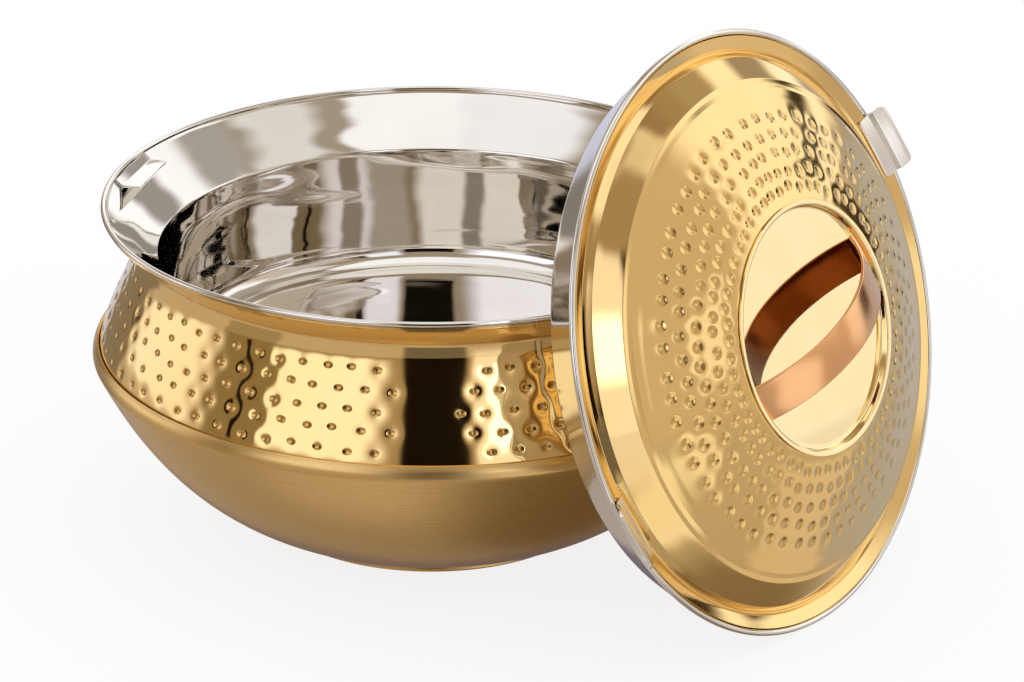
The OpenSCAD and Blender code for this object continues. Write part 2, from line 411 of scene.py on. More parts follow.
def swept(path: Array, widths: Array, thickness: float, edge: float, steps: int = 3) -> Surface:
    """Closed strip that runs along a path in the XZ plane, with rounded long edges.

    Round the strip, the cross-section is a rectangle with a quarter circle at each
    corner. It is carried along the path: its thickness along the path's left normal, its
    width along Y. Both ends are closed by a fan.

    Args:
        path: Middle line of the strip, (x, z) in millimetres.
        widths: Width of the strip at each point of the path.
        thickness: Thickness of the strip.
        edge: Radius of its edges.
        steps: Chords in a quarter circle.

    Returns:
        The surface. Its sheet coordinates are the run round the section and the run
        along the path, in metres.
    """
    tangent = np.gradient(path, axis=0)
    tangent /= np.linalg.norm(tangent, axis=1, keepdims=True)
    side = np.repeat([(1, 1), (-1, 1), (-1, -1), (1, -1)], steps + 1, axis=0)
    turned = np.vstack([arc((0, 0), edge, 90 * k, 90 * k + 90, steps) for k in range(4)])
    across = turned[:, 1] + side[:, 1] * (thickness / 2 - edge)
    half_flat = np.maximum(widths[:, None] / 2 - edge, LEAST_HALF_FLAT)
    x = path[:, :1] - tangent[:, 1:] * across
    y = side[:, 0] * half_flat + turned[:, 0]
    z = path[:, 1:] + tangent[:, :1] * across
    rows, columns = x.shape
    tips = np.insert(path[[0, -1]], 1, 0, axis=1)
    points = np.vstack([np.stack([x, y, z], 2).reshape(-1, 3), tips])
    section = np.stack([turned[:, 0] + side[:, 0] * widths.max() / 2, across], 1)
    ring = run_along(np.vstack([section, section[:1]])) * MM
    quads, sheet = ringed(rows, np.arange(rows - 1), ring, run_along(path) * MM)
    first, tip = np.arange(columns), rows * columns
    triangles = fans(first, tip, first + tip - columns, tip + 1)
    return Surface(points, quads, triangles, np.vstack([sheet, np.zeros((6 * columns, 2))]))


# ---- hammering -----------------------------------------------------------------------

# Place beside a mark, in millimetres, of a face that the rows of marks don't reach.
OFF_THE_FIELD = 99.0
# The same on the rows, beside a mark that the plain field leaves out.
MARK_LEFT_OUT = 25.0
# A distance from a mark between those two, which ends the hammered field for a finish.
FIELD_LIMIT = 60.0
# Columns of a hammered surface for each mark in a row.
COLUMNS_PER_MARK = 14


@dataclass(frozen=True)
class Hammering:
    """Hammer marks laid round a sheet in staggered rows.

    Each row has the same count of marks, and every other row is turned by half a pitch.
    Seeded random numbers move each mark a little and change its depth.

    Attributes:
        rows: Distance of each row from the profile's start, in millimetres.
        radii: Radius of the sheet at each row.
        count: Marks in a row.
        pit: Depth and radius of the pit, in millimetres.
        dish: Depth and radius of the shallow dish round it.
        seed: Seed of the random numbers.
        plain: Middle and half width, in radians, of a field without marks.
        stray: How far marks stray from their places round the sheet and along it, in
            millimetres, for one standard deviation.
        unevenness: How much their strength varies, as a share, in the same way.
    """

    rows: Array
    radii: Array
    count: int
    pit: tuple[float, float]
    dish: tuple[float, float]
    seed: int
    plain: tuple[float, float] = (0.0, 0.0)
    stray: tuple[float, float] = (0.55, 0.45)
    unevenness: float = 0.16

    def marks(self) -> tuple[Array, Array, Array]:
        """Draws the marks at random.

        Returns:
            Angle, distance along the profile and strength of each mark, a row per row.
        """
        shape = (3, len(self.rows), self.count)
        turn, off, strength = np.random.default_rng(self.seed).normal(0, 1, shape)
        stagger = 0.5 - 0.5 * (np.arange(len(self.rows))[:, None] % 2)
        angle = (np.arange(self.count) + stagger) * 2 * math.pi / self.count
        angle = angle + self.stray[0] * turn / self.radii[:, None]
        here = np.abs(wrapped(angle - self.plain[0])) >= self.plain[1]
        run = self.rows[:, None] + self.stray[1] * off
        return angle, run, here * (1 + self.unevenness * strength)

    def near(self, around: Array) -> Iterator[tuple[int, Array, Array, Array]]:
        """Goes through the three marks of each row that are nearest to each angle.

        Args:
            around: Angles.

        Yields:
            The row, and the angles, distances and strengths of one mark per angle.
        """
        angle, run, strength = self.marks()
        for k in range(len(self.rows)):
            cell = np.floor(around * self.count / (2 * math.pi) + 0.5 * (k % 2)).astype(int)
            for step in (-1, 0, 1):
                mark = (cell + step) % self.count
                yield k, angle[k][mark], run[k][mark], strength[k][mark]

    def depth(self, around: Array, run: Array) -> Array:
        """Depth of the marks: a pit in a dish, both bell curves of the distance.

        Args:
            around: Angles of the columns.
            run: Distance of each profile point from the profile's start.

        Returns:
            A depth for each profile point and column, in millimetres.
        """
        depth = np.zeros((len(run), len(around)))
        for k, angle, place, strength in self.near(around):
            across = wrapped(around - angle) * self.radii[k]
            far2 = across**2 + (run[:, None] - place) ** 2
            bells = [deep * np.exp(-far2 / wide**2) for deep, wide in (self.pit, self.dish)]
            depth += strength * (bells[0] + bells[1])
        return depth

    def beside_mark(self, columns: int, run: Array) -> Array:
        """Where each face corner lies beside the mark that is nearest to its face.

        Args:
            columns: Columns of the surface.
            run: Distance of each row of points from the profile's start, and not a number
                on rows that the marks don't reach.

        Returns:
            (across, along) in millimetres for the four corners of each quad, row by row.
            Both are OFF_THE_FIELD off the marks' rows, and MARK_LEFT_OUT beside a mark
            of no strength.
        """
        pitch = 2 * math.pi / columns
        left = equal_angles(columns)
        ends = np.stack([run, np.roll(run, -1)], 1)
        middle = ends.mean(1)[:, None]
        best = np.full((len(run), columns), np.inf)
        places = np.full((len(run), columns, 4, 2), OFF_THE_FIELD)
        for k, angle, place, strength in self.near(left + pitch / 2):
            wide = pitch * self.radii[k]
            across = wrapped(left - angle) * self.radii[k]
            far2 = (across + wide / 2) ** 2 + (middle - place) ** 2
            nearer = far2 < best
            best = np.where(nearer, far2, best)
            x = across[:, None] + wide * np.array([0, 1, 1, 0])
            y = ends[:, None, [0, 0, 1, 1]] - place[None, :, None]
            found = np.stack(np.broadcast_arrays(x, y), 3)
            found = np.where((strength > 0)[:, None, None], found, MARK_LEFT_OUT)
            places = np.where(nearer[:, :, None, None], found, places)
        return places.reshape(-1, 2)

    def pressed(self, profile: Array, first: int, run: Array) -> Surface:
        """Spins a profile with the marks pressed into some of its rows.

        Args:
            profile: Anticlockwise loop of (radius, height), in millimetres.
            first: Number of the first profile point that the marks reach.
            run: Distance along the hammered part, for that point and those after it.

        Returns:
            The surface.
        """
        columns = self.count * COLUMNS_PER_MARK
        reached = slice(first, first + len(run))
        relief = np.zeros((len(profile), columns))
        relief[reached] = -self.depth(equal_angles(columns), run)
        places = np.full(len(profile), np.nan)
        places[reached] = run
        surface = spun(profile, columns, relief)
        return replace(surface, beside_mark=self.beside_mark(columns, places))


# ---- finishes ------------------------------------------------------------------------

# Sockets of a Mix node that mixes colours, by number, because the ones that mix numbers
# have the same names: the share of the second colour, the two colours, and the result.
SHARE, FIRST, SECOND, MIXED = 0, 6, 7, 2
# Between these, most of a Noise Texture's values lie.
NOISE_SPAN = {"From Min": 0.3, "From Max": 0.7}


def paint(colour: str) -> tuple[float, ...]:
    """Linear RGBA of an sRGB hex colour: the sRGB curve undone on each channel."""
    c = np.array([int(colour[i : i + 2], 16) for i in (1, 3, 5)]) / 255
    return (*np.where(c <= 0.04045, c / 12.92, ((c + 0.055) / 1.055) ** 2.4).tolist(), 1.0)


def per_metre(size_mm: float) -> float:
    """How many steps of a pattern go into a metre, where one has the given size."""
    return 1 / (size_mm * MM)


def add(tree: Tree, kind: str, inputs: dict | None = None, **settings: object) -> Node:
    """Adds a node.

    Args:
        tree: Node tree that it goes into.
        kind: Blender's name of the node, without its ShaderNode prefix.
        inputs: Socket name or index to a value, or to the output that feeds it.
        **settings: Properties of the node.

    Returns:
        The node.
    """
    node = tree.nodes.new("ShaderNode" + kind)
    for name, value in settings.items():
        setattr(node, name, value)
    for name, value in (inputs or {}).items():
        if isinstance(value, Socket):
            tree.links.new(value, node.inputs[name])
        else:
            node.inputs[name].default_value = value
    return node


@dataclass(frozen=True)
class Finish:
    """What every finish has: its name, its colour, a second shade of it, and its gloss."""

    name: str
    colour: str
    shade: str
    roughness: float
    metallic: float = 1.0

    def material(self) -> bpy.types.Material:
        """Makes the Blender material, or finds it if it was made before.

        Returns:
            The material.
        """
        made = bpy.data.materials.get(self.name)
        if made is None:
            made = bpy.data.materials.new(self.name)
            made.use_nodes = True
            made.node_tree.nodes.clear()
            shader = self.wire(made.node_tree)
            add(made.node_tree, "OutputMaterial", {"Surface": shader.outputs[0]})
        return made

    def wire(self, tree: Tree) -> Node:
        """Adds the finish's nodes and returns its shader."""
        raise NotImplementedError


@dataclass(frozen=True)
class Polished(Finish):
    """Sheet buffed to a mirror after pressing or spinning.

    Attributes:
        swell_mm: Width of the slight unevenness that pressing leaves.
        swell_depth_mm: Its depth.
        ring_mm: Spacing of the rings that the spinning roller leaves, drawn about three
            times as coarse as real so that they show.
        ring_depth_mm: Their depth, 0 for none.
        ring_drift: How often they change in a metre round the sheet.
        haze_mm: Size of the cloudy spots where the buffing differs.
        haze: How much the roughness differs there, as a share.
    """

    swell_mm: float = 26
    swell_depth_mm: float = 0.05
    ring_mm: float = 3.2
    ring_depth_mm: float = 0.0
    ring_drift: float = 1.2
    haze_mm: float = 24
    haze: float = 0.25

    def wire(self, tree: Tree) -> Node:
        """Cloudy colour and gloss over the relief.

        Args:
            tree: Node tree of the material.

        Returns:
            The shader.
        """
        place = add(tree, "TexCoord").outputs["Object"]
        cloud = add(tree, "TexNoise", {"Vector": place, "Scale": per_metre(self.haze_mm), "Detail": 1.5})
        share = cloud.outputs["Fac"]
        shades = {SHARE: share, FIRST: paint(self.colour), SECOND: paint(self.shade)}
        colour = add(tree, "Mix", shades, data_type="RGBA").outputs[MIXED]
        least, most = self.roughness * (1 - self.haze), self.roughness * (1 + self.haze)
        gloss = add(tree, "MapRange", {"Value": share, **NOISE_SPAN, "To Min": least, "To Max": most})
        return add(tree, "BsdfPrincipled", {
            "Base Color": self.pit_shaded(tree, colour),
            "Metallic": self.metallic,
            "Roughness": self.dulled(tree, gloss.outputs[0]),
            "Normal": self.relief(tree, place),
        })

    def pit_shaded(self, tree: Tree, colour: Socket) -> Socket:
        """The colour after any painted shade in the pits, here as it was."""
        return colour

    def dulled(self, tree: Tree, gloss: Socket) -> Socket:
        """The roughness after any dulling, here as it was."""
        return gloss

    def relief(self, tree: Tree, place: Socket) -> Socket:
        """Normal of the swells and of the roller's rings.

        Args:
            tree: Node tree of the material.
            place: Object coordinates.

        Returns:
            The normal.
        """
        swell = add(tree, "TexNoise", {"Vector": place, "Scale": per_metre(self.swell_mm), "Detail": 1.0})
        low = {"Height": swell.outputs["Fac"], "Distance": self.swell_depth_mm * MM}
        normal = add(tree, "Bump", low).outputs[0]
        if self.ring_depth_mm:
            sheet = add(tree, "UVMap", uv_map="sheet").outputs["UV"]
            scale = (self.ring_drift, per_metre(self.ring_mm), 1.0)
            drawn = add(tree, "Mapping", {"Vector": sheet, "Scale": scale})
            lines = {"Vector": drawn.outputs[0], "Scale": 1.0, "Detail": 1.5}
            ring = add(tree, "TexNoise", lines, noise_dimensions="2D").outputs["Fac"]
            grooved = {"Height": ring, "Distance": self.ring_depth_mm * MM, "Normal": normal}
            normal = add(tree, "Bump", grooved).outputs[0]
        return normal


@dataclass(frozen=True)
class Hammered(Polished):
    """Polished sheet whose mesh has the marks' dishes, and which adds each mark's crisp pit.

    The mesh is too coarse for the pit's steep wall. The pit is a bowl: one minus the
    squared distance over its radius, to a power that softens its edge a little. The
    buffing wheel doesn't reach into it, so it stays duller. Its colour is darker too,
    which is painted shade. The punch also leaves the whole hammered field duller than the
    plain sheet beside it.

    Attributes:
        pit_mm: Radius of the pit.
        pit_depth_mm: Its depth.
        pit_flat: How many times longer the pit is across than along the profile.
        pit_painted_shade: Darker colour in the pit: painted shade.
        pit_roughness: Roughness in the pit.
        pit_power: Power that softens its edge.
        pit_border: Outer share of its radius, over which its colour and gloss set in.
        dulling: How many times rougher the hammered field is.
    """

    pit_mm: float = 1.75
    pit_depth_mm: float = 0.5
    pit_flat: float = 1.0
    # Darker than the sheet: painted shade in the pits.
    pit_painted_shade: str = "#e3bf7b"
    pit_roughness: float = 0.22
    pit_power: float = 1.3
    pit_border: float = 0.2
    dulling: float = 1.0

    def from_mark(self, tree: Tree) -> Socket:
        """Measures how far a point of the sheet is from the nearest mark.

        Args:
            tree: Node tree of the material.

        Returns:
            Distance from the mark's middle in millimetres, as the flat pit counts it.
        """
        mark = add(tree, "UVMap", uv_map="mark").outputs["UV"]
        flat = add(tree, "VectorMath", {0: mark, 1: (1.0, self.pit_flat, 1.0)}, operation="MULTIPLY")
        return add(tree, "VectorMath", {0: flat.outputs[0]}, operation="LENGTH").outputs["Value"]

    def in_pit(self, tree: Tree) -> Socket:
        """Finds the pits.

        Args:
            tree: Node tree of the material.

        Returns:
            One in a pit, falling smoothly to nothing over its border.
        """
        border = {"From Min": self.pit_mm, "From Max": self.pit_mm * (1 - self.pit_border)}
        distance = {"Value": self.from_mark(tree)}
        return add(tree, "MapRange", distance | border, interpolation_type="SMOOTHSTEP").outputs[0]

    def pit_shaded(self, tree: Tree, colour: Socket) -> Socket:
        """The colour, with a darker colour mixed into the pits as painted shade."""
        # Painted shade: a darker colour in the pits.
        shades = {SHARE: self.in_pit(tree), FIRST: colour, SECOND: paint(self.pit_painted_shade)}
        return add(tree, "Mix", shades, data_type="RGBA").outputs[MIXED]

    def dulled(self, tree: Tree, gloss: Socket) -> Socket:
        """The roughness, times the dulling on the hammered field, and the pit's in the pits.

        Args:
            tree: Node tree of the material.
            gloss: Roughness of the plain sheet.

        Returns:
            The roughness.
        """
        reached = add(tree, "Math", {0: self.from_mark(tree), 1: FIELD_LIMIT}, operation="LESS_THAN")
        times = {0: reached.outputs[0], 1: self.dulling - 1, 2: 1.0}
        more = add(tree, "Math", times, operation="MULTIPLY_ADD")
        dull = add(tree, "Math", {0: gloss, 1: more.outputs[0]}, operation="MULTIPLY")
        both = {"Factor": self.in_pit(tree), "A": dull.outputs[0], "B": self.pit_roughness}
        return add(tree, "Mix", both).outputs[0]

    def relief(self, tree: Tree, place: Socket) -> Socket:
        """Normal of the swells with the pits sunk in.

        Args:
            tree: Node tree of the material.
            place: Object coordinates.

        Returns:
            The normal.
        """
        far = add(tree, "Math", {0: self.from_mark(tree), 1: self.pit_mm}, operation="DIVIDE")
        far2 = add(tree, "Math", {0: far.outputs[0], 1: 2.0}, operation="POWER")
        left = add(tree, "Math", {0: 1.0, 1: far2.outputs[0]}, operation="SUBTRACT", use_clamp=True)
        pit = add(tree, "Math", {0: left.outputs[0], 1: self.pit_power}, operation="POWER")
        sunk = {"Height": pit.outputs[0], "Distance": self.pit_depth_mm * MM}
        return add(tree, "Bump", sunk | {"Normal": super().relief(tree, place)}, invert=True).outputs[0]


@dataclass(frozen=True)
class Brushed(Finish):
    """Sheet with a satin grain of fine lines that run one way.

    Attributes:
        grain_mm: Width of a line, drawn about four times as coarse as real.
        stroke_mm: Length of a line.
        grain_depth_mm: Depth of the lines.
        across: True if the lines run along the sheet's second coordinate.
        back_painted_shade: Dark colour painted as shade on the back side, or nothing.
        back_until_mm: Where that side ends, along the sheet's first coordinate.
        clouds: Broad cloudy spots in a metre.
        streaks: How much the roughness differs from line to line, as a share.
    """

    grain_mm: float = 0.5
    stroke_mm: float = 60
    grain_depth_mm: float = 0.004
    across: bool = False
    back_painted_shade: str = ""
    back_until_mm: float = 0
    clouds: float = 38
    streaks: float = 0.15

    def wire(self, tree: Tree) -> Node:
        """Streaks of colour, gloss and height, and a broad cloudiness under them.

        The share of the second shade is the grain times the cloudiness, plus a tenth.

        Args:
            tree: Node tree of the material.

        Returns:
            The shader.
        """
        place = add(tree, "TexCoord").outputs["Object"]
        sheet = add(tree, "UVMap", uv_map="sheet").outputs["UV"]
        fine, long = per_metre(self.grain_mm), per_metre(self.stroke_mm)
        scale = (fine, long, 1.0) if self.across else (long, fine, 1.0)
        drawn = add(tree, "Mapping", {"Vector": sheet, "Scale": scale})
        lines = {"Vector": drawn.outputs[0], "Scale": 1.0, "Detail": 3.0, "Roughness": 0.65}
        grain = add(tree, "TexNoise", lines, noise_dimensions="2D").outputs["Fac"]
        cloud = add(tree, "TexNoise", {"Vector": place, "Scale": self.clouds, "Detail": 2.0})
        share = add(tree, "Math", {0: grain, 1: cloud.outputs["Fac"], 2: 0.1}, operation="MULTIPLY_ADD")
        shades = {SHARE: share.outputs[0], FIRST: paint(self.colour), SECOND: paint(self.shade)}
        colour = add(tree, "Mix", shades, data_type="RGBA").outputs[MIXED]
        # Painted shade: the back side is drawn dark.
        if self.back_painted_shade:
            run = add(tree, "SeparateXYZ", {0: sheet}).outputs["X"]
            in_painted_shade = add(tree, "Math", {0: run, 1: self.back_until_mm * MM}, operation="LESS_THAN")
            sides = {SHARE: in_painted_shade.outputs[0], FIRST: colour, SECOND: paint(self.back_painted_shade)}
            colour = add(tree, "Mix", sides, data_type="RGBA").outputs[MIXED]
        least, most = self.roughness * (1 - self.streaks), self.roughness * (1 + self.streaks)
        gloss = add(tree, "MapRange", {"Value": grain, **NOISE_SPAN, "To Min": least, "To Max": most})
        normal = add(tree, "Bump", {"Height": grain, "Distance": self.grain_depth_mm * MM})
        return add(tree, "BsdfPrincipled", {
            "Base Color": colour,
            "Metallic": self.metallic,
            "Roughness": gloss.outputs[0],
            "Normal": normal.outputs[0],
        })


@dataclass(frozen=True)
class RigidFoam(Finish):
    """Poured polyurethane foam: closed cells about 0.8 mm wide under a dull skin."""

    metallic: float = 0.0
    cell_mm: float = 0.8
    cell_depth_mm: float = 0.2
    cell_strength: float = 0.6

    def wire(self, tree: Tree) -> Node:
        """Cells as small hollows, each a slightly different cream.

        Args:
            tree: Node tree of the material.

        Returns:
            The shader.
        """
        place = add(tree, "TexCoord").outputs["Object"]
        cell = add(tree, "TexVoronoi", {"Vector": place, "Scale": per_metre(self.cell_mm)})
        hollow = cell.outputs["Distance"]
        shades = {SHARE: hollow, FIRST: paint(self.colour), SECOND: paint(self.shade)}
        colour = add(tree, "Mix", shades, data_type="RGBA").outputs[MIXED]
        depth = {"Distance": self.cell_depth_mm * MM, "Strength": self.cell_strength}
        normal = add(tree, "Bump", {"Height": hollow} | depth)
        return add(tree, "BsdfPrincipled", {
            "Base Color": colour,
            "Metallic": self.metallic,
            "Roughness": self.roughness,
            "Normal": normal.outputs[0],
        })


# Stainless sheet, buffed and vacuum-coated with titanium nitride: a warm yellow mirror,
# a little uneven from the press.
GOLD_BAND = Hammered(
    "gold_coated_hammered_band", "#f4d594", "#efcb85", 0.06,
    swell_depth_mm=0.04, pit_mm=2.0, pit_depth_mm=0.28, pit_flat=1.35,
    # The darker colour in the pits is painted shade.
    pit_painted_shade="#cfa560", pit_roughness=0.2,
)
# The same on the lid, where the hammered dome is softer than the ring wall round it.
GOLD_DOME = Hammered(
    "gold_coated_hammered_dome", "#f4d594", "#efcb85", 0.07,
    # Its pits take the default darker colour: painted shade.
    swell_depth_mm=0.04, pit_mm=2.5, pit_depth_mm=0.3, pit_roughness=0.12, dulling=1.3,
)
# The same coating on sheet that was only satin-ground: a soft brown-gold sheen.
GOLD_SATIN = Brushed("gold_coated_satin_steel", "#dfbb7a", "#d9b473", 0.3, grain_depth_mm=0.0012)
# Bare stainless, spun and buffed: a bright grey mirror with faint rings from the roller.
BOWL_STEEL = Polished(
    "spun_mirror_steel", "#e9e5de", "#e0dbd3", 0.035,
    swell_depth_mm=0.12, ring_depth_mm=0.006,
)
# Bare stainless, pressed and buffed, on the lid's pan and the catches.
PAN_STEEL = Polished("pressed_mirror_steel", "#ebe7e0", "#e0dbd2", 0.08)
# Gold coating over a flat mirror disc, thinner and so paler.
PALE_GOLD = Polished(
    "pale_gold_mirror_steel", "#fdeab9", "#fbe3ab", 0.04,
    swell_depth_mm=0.02, swell_mm=30,
)
# Copper-toned coating on a drawn strip, buffed along its length. Its underside, the
# face towards the cup, is painted dark copper brown as shade.
ROSE_GOLD = Brushed(
    "rose_gold_coated_strip", "#fbc58f", "#f1b480", 0.17,
    grain_mm=0.4, grain_depth_mm=0.001, across=True, back_painted_shade="#7d4526", back_until_mm=17.2,
)
# Thick stainless tabs, barrel-polished: bright with a soft gloss.
TAB_STEEL = Brushed(
    "barrel_polished_steel_tab", "#fbfaf8", "#f3f1ef", 0.24,
    grain_mm=0.35, stroke_mm=12, grain_depth_mm=0.001,
)
# Poured between the sheets, and never seen.
PU_FOAM = RigidFoam("poured_polyurethane_foam", "#ece2bd", "#cdbf8e", 0.9)


# ---- pieces --------------------------------------------------------------------------

# Smooth shading stops where two faces turn by more than this, in degrees.
SHARP_EDGE = 38


def piece(name: str, surface: Surface, finish: Finish, body: Body, node: str, slot: Slot) -> None:
    """Makes a Blender piece of a surface, dresses it and lets it stand for a CAD node.

    Args:
        name: Name of the piece.
        surface: Its surface, in millimetres.
        finish: What it is made of.
        body: CAD body that it rides on.
        node: CAD node that it replaces.
        slot: Material slot of the record; not used.
    """
    mesh = bpy.data.meshes.new(name)
    faces = surface.quads.tolist() + surface.triangles.tolist()
    mesh.from_pydata(surface.points * MM, [], faces)
    for layer, places in (("sheet", surface.sheet), ("mark", surface.beside_mark)):
        if places is not None:
            flat = places.astype(np.float32).ravel()
            mesh.uv_layers.new(name=layer).data.foreach_set("uv", flat)
    mesh.polygons.foreach_set("use_smooth", np.ones(len(mesh.polygons), bool))
    mesh.set_sharp_from_angle(angle=math.radians(SHARP_EDGE))
    mesh.materials.append(finish.material())
    obj = bpy.data.objects.new(name, mesh)
    bpy.context.scene.collection.objects.link(obj)
    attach(obj, body.value)
    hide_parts(node)
    log.info("%s: %d faces, for %s on %s", name, len(mesh.polygons), node, body.value)


# ---- the pot -------------------------------------------------------------------------


@dataclass
class Pot:
    """Double-walled pot: gold outer shells, steel bowl, base plate and two catches."""

    # Every sheet, and the hair of clearance between sheets.
    sheet: float = 0.8
    gap: float = 0.1
    # Mouth: a cone from the rim with its rolled bead down to the lip.
    rim_r: float = 130
    rim_h: float = 132
    bead: float = 1.1
    lip_r: float = 107.6
    mouth_drop: float = 20
    # Outer shells: neck under the rim, seam where they meet, belly, foot.
    neck_r: float = 116.5
    crease_r: float = 2.4
    seam_r: float = 131.6
    seam_h: float = 73.6
    tuck_in: float = 0.7
    tuck_down: float = 6
    belly_r: float = 134.4
    shoulder_drop: float = 3.8
    base_r: float = 65
    foot_h: float = 2.2
    # Bowl: wall, corner, and the disc raised in its floor.
    wall_r: float = 103.8
    bowl_depth: float = 68
    bowl_corner: float = 8
    floor_disc_r: float = 78
    floor_step: float = 2
    # Swells of the bowl: greatest height, how far from the rim and from the middle of
    # the floor they fade, and each wave's turns, pitch, phase and share.
    swell: float = 0.16
    swell_in: float = 6
    swell_out: float = 95
    waves: tuple[tuple[float, ...], ...] = (
        (7, 31, 0.3, 0.40),
        (11, 47, 1.9, 0.30),
        (4, 23, 4.0, 0.35),
        (17, 64, 2.2, 0.12),
        (0, 12.5, 0.8, 0.16),
    )
    # Hammer marks of the band, and its plain field's middle and half width in radians.
    marks: int = 74
    mark_rows: int = 5
    mark_spacing: float = 7.8
    first_mark: float = 6.6
    plain: tuple[float, float] = (-1.581, 0.098)
    # Catches, and the lid's hem and lugs that turn in under them.
    catch_w: float = 31
    catch_r: float = 121
    catch_az: float = 162
    catch_cover: float = 2.1
    catch_gap: float = 0.3
    tab: float = 1
    hem_r: float = 116
    hem_bead: float = 1.2
    lug_end: float = 119.7
    lug_top: float = 7.215

    def cone_z(self, r: float) -> float:
        """Height of the mouth's mirror face at a radius."""
        return self.rim_h - (self.rim_r - r) * self.mouth_drop / (self.rim_r - self.lip_r)

    def cone_point(self, r: float, below: float) -> Array:
        """Point under the mirror face at a radius, by a thickness measured square to it."""
        across = self.rim_r - self.lip_r
        return np.array([r, self.cone_z(r) - below * math.hypot(across, self.mouth_drop) / across])

    def upper_shell(self) -> Surface:
        """Gold shell: plain flare under the rim, crease, and the band with its hammer marks.

        The band is a cubic curve from the crease to the seam, whose handles follow the
        photograph. Its rows of points lie close together at each row of marks. The marks
        are depths taken off along the normal. Below the seam it tucks in behind the belly.

        Returns:
            The surface.
        """
        skin = 2 * self.sheet + self.gap
        neck = self.cone_point(self.neck_r, skin)
        start, flare = (self.cone_point(self.rim_r - back, skin) for back in (self.bead, 3))
        crease = corner(self.cone_point(self.rim_r, skin), neck, neck + [0, -10], self.crease_r, steps=6)
        flare_end = crease[0] + unit(flare - crease[0]) * 0.4
        above = np.vstack([[start], np.linspace(flare, flare_end, 5), crease, [crease[-1] + [0, -0.3]]])
        seam = (self.seam_r, self.seam_h)
        pull = (self.seam_r - 3.4, self.seam_h + 15.5)
        curve = cubic(neck + [0, -4], neck + [0, -11], pull, seam, steps=200)
        rows = self.first_mark + self.mark_spacing * np.arange(self.mark_rows)
        run = banded_rows(run_along(curve)[-1], rows, reach=2.0, fine=0.5, coarse=1.3)
        band = along(curve, run)
        tuck = np.linspace(seam, (self.seam_r - self.tuck_in, self.seam_h - self.tuck_down), 3)
        outer = np.vstack([above, band, tuck[1:]])
        back = np.vstack([above[:2], above[5::2], band[:: len(band) // 5], tuck[::2]])
        loop = np.vstack([outer[::-1], beside(back, -self.sheet)])
        hammering = Hammering(
            rows, np.interp(rows, run, band[:, 0]), self.marks,
            pit=(0.16, 1.3), dish=(0.14, 3.0), seed=4, plain=self.plain,
        )
        return hammering.pressed(loop, len(tuck) - 1, run[::-1])

    def lower_shell(self) -> Surface:
        """Satin shell: shoulder, belly and the turned-in shelf, as two cubic curves.

        Returns:
            The surface.
        """
        seam = self.seam_r + self.sheet + self.gap
        belly_h = self.seam_h - self.shoulder_drop
        shoulder = cubic(
            (seam + 0.4, self.seam_h + 0.6),
            (self.belly_r - 0.6, self.seam_h - 0.6),
            (self.belly_r, self.seam_h - self.shoulder_drop * 0.6),
            (self.belly_r, belly_h),
            steps=12,
        )
        belly = cubic(
            (self.belly_r - 0.1, belly_h - 0.6),
            (self.belly_r - 16.4, belly_h * 0.52),
            (self.base_r + 32, self.foot_h + 10.8),
            (self.base_r + 1, self.foot_h + 0.8),
            steps=60,
        )
        edge = [[seam, self.seam_h + 1], [seam + 0.2, self.seam_h + 0.95]]
        shelf = [[self.base_r - inwards, self.foot_h + 0.05] for inwards in (1, 14)]
        path = np.vstack([edge, shoulder, belly, shelf])
        return spun(np.vstack([path[::-1], beside(path[::5], -self.sheet)]), columns=384)

    def bowl(self) -> Surface:
        """Steel bowl: rolled rim, conical mouth, tapered wall, round corner, raised disc.

        The mirror face is pushed in and out by slow swells, as on any spun bowl: a few
        cosines of the run along the face and of whole numbers of turns round the axis.
        They fade out at the rim and, with the square of the radius, over the floor.

        Returns:
            The surface.
        """
        floor = self.rim_h - self.bowl_depth
        disc = floor + self.floor_step
        bends = [
            self.cone_point(self.rim_r - 1.8 * self.bead, 0),
            (self.lip_r, self.rim_h - self.mouth_drop),
            (self.wall_r, floor),
            (self.floor_disc_r + 1.5, floor),
            (self.floor_disc_r - 0.5, disc),
            (0, disc),
        ]
        path = rounded(bends, [0, 1.6, self.bowl_corner, 1, 1, 0], steps=9)
        face = stepped(path, longest=1.6)
        back = beside(stepped(path, longest=12), self.sheet)
        centre = (self.rim_r - self.bead, self.rim_h - self.bead)
        roll = arc(centre, self.bead, start=-98, end=217, steps=12)
        loop = np.vstack([back[::-1], roll, face])
        around = equal_angles(448)
        run = run_along(face)[:, None]
        swell = sum(
            share * np.cos(turns * around + 2 * math.pi * run / pitch + phase)
            for turns, pitch, phase, share in self.waves
        )
        fade = np.clip(run / self.swell_in, 0, 1) * np.clip((run[-1] - run) / self.swell_out, 0, 1) ** 2
        relief = np.zeros((len(loop), len(around)))
        relief[len(loop) - len(face) :] = self.swell * fade * swell
        return spun(loop, len(around), relief)

    def base_plate(self) -> Surface:
        """Round plate with a rounded edge, which shows as a narrow foot.

        Returns:
            The surface.
        """
        r, h = self.base_r, self.foot_h
        bends = [(0, 0), (r - 0.4, 0), (r, 0.6), (r, h - 0.3), (r - 0.4, h), (0, h)]
        loop = rounded(bends, [0, 0.4, 0.4, 0.3, 0.3, 0], steps=4)
        return spun(stepped(loop, longest=6), columns=240)

